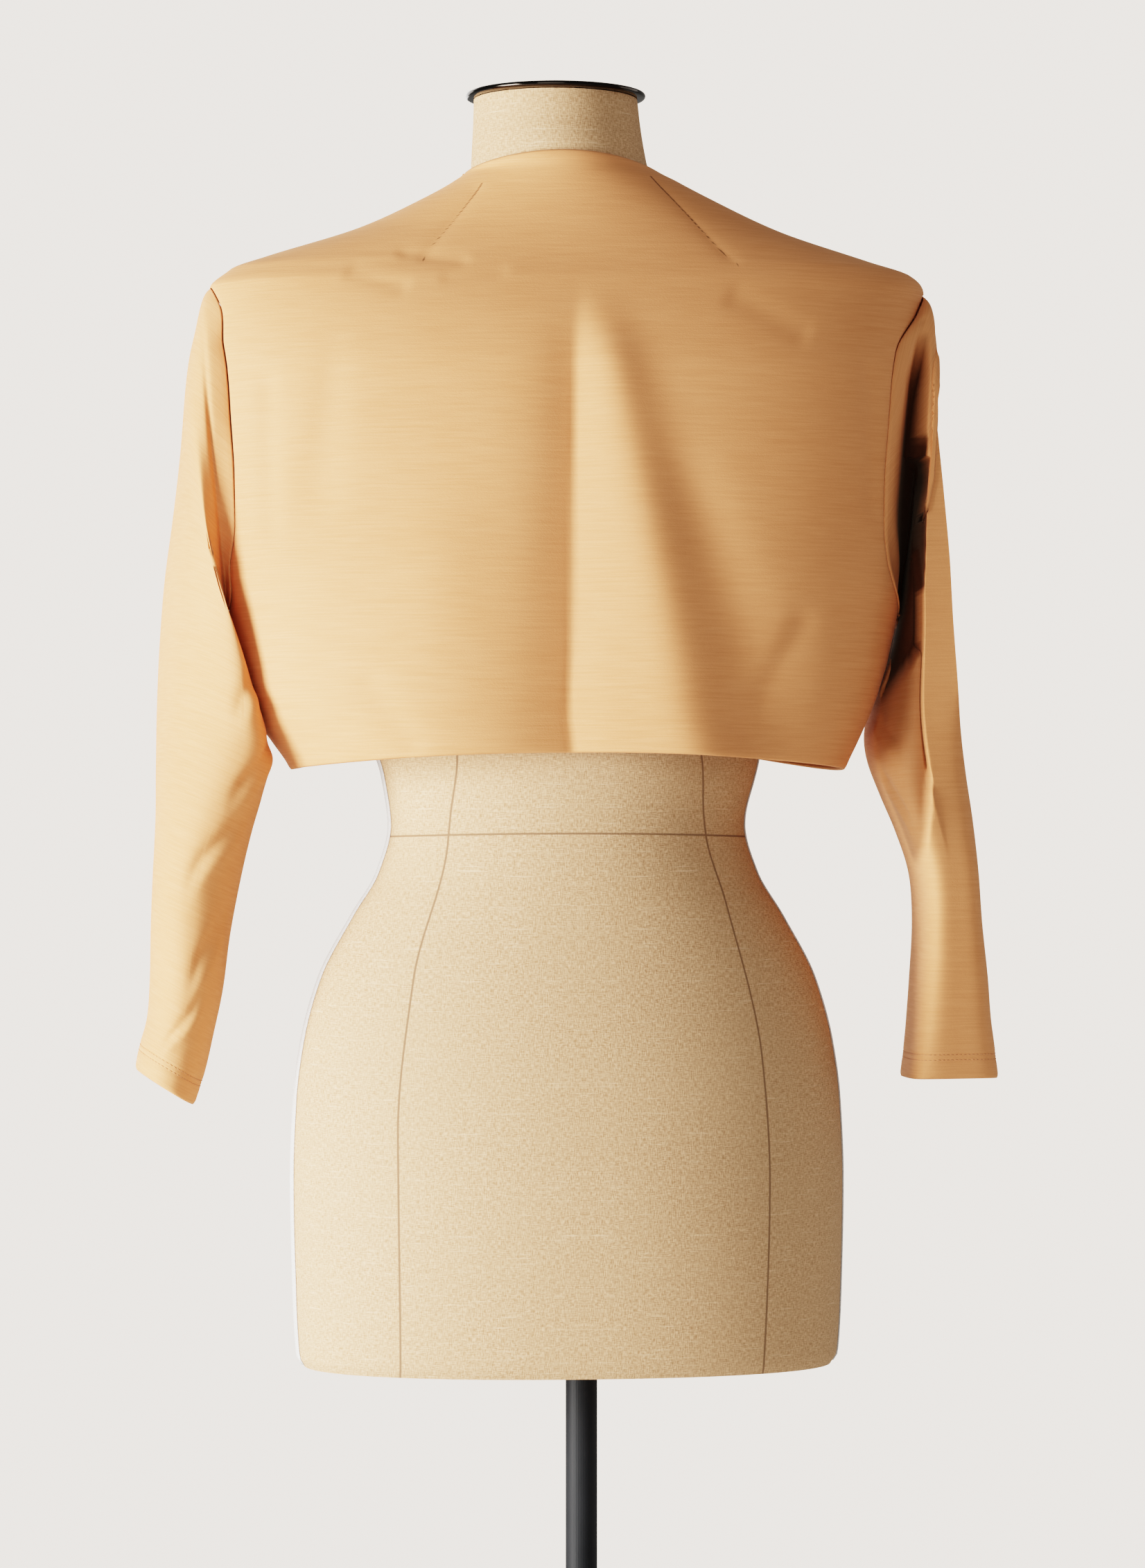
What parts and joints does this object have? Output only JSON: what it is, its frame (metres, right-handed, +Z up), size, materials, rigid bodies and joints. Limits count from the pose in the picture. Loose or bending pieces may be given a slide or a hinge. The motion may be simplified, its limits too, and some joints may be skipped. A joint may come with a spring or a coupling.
{
  "type": "bolero jacket on dress form",
  "caption": "Cropped open bolero jacket with long sleeves, worn by a limbless linen dress form on a pole stand with a round base.",
  "frame": {"origin": "on the floor, where the pole's axis meets the underside of the round base", "axes": "+Z up along the pole, -Y the way the form's chest faces, +X the form's own left arm"},
  "size_m": [0.558, 0.38, 1.5203],
  "materials": {
    "camel_cloth": "soft dense double knit with fine level slubs",
    "beige_linen": "taut plain-weave linen",
    "pale_grey_tape": "flat woven tape",
    "polished_chrome": "polished",
    "black_paint": "satin"
  },
  "bodies": {
    "root": {"jacket_back": "camel_cloth", "jacket_front_left": "camel_cloth", "jacket_front_right": "camel_cloth", "sleeve_left": "camel_cloth", "sleeve_right": "camel_cloth", "form_torso": "beige_linen", "form_tape_left": "pale_grey_tape", "form_tape_right": "pale_grey_tape", "form_neck_cap": "polished_chrome", "stand_pole": "black_paint", "stand_base": "black_paint"}
  },
  "joints": []
}
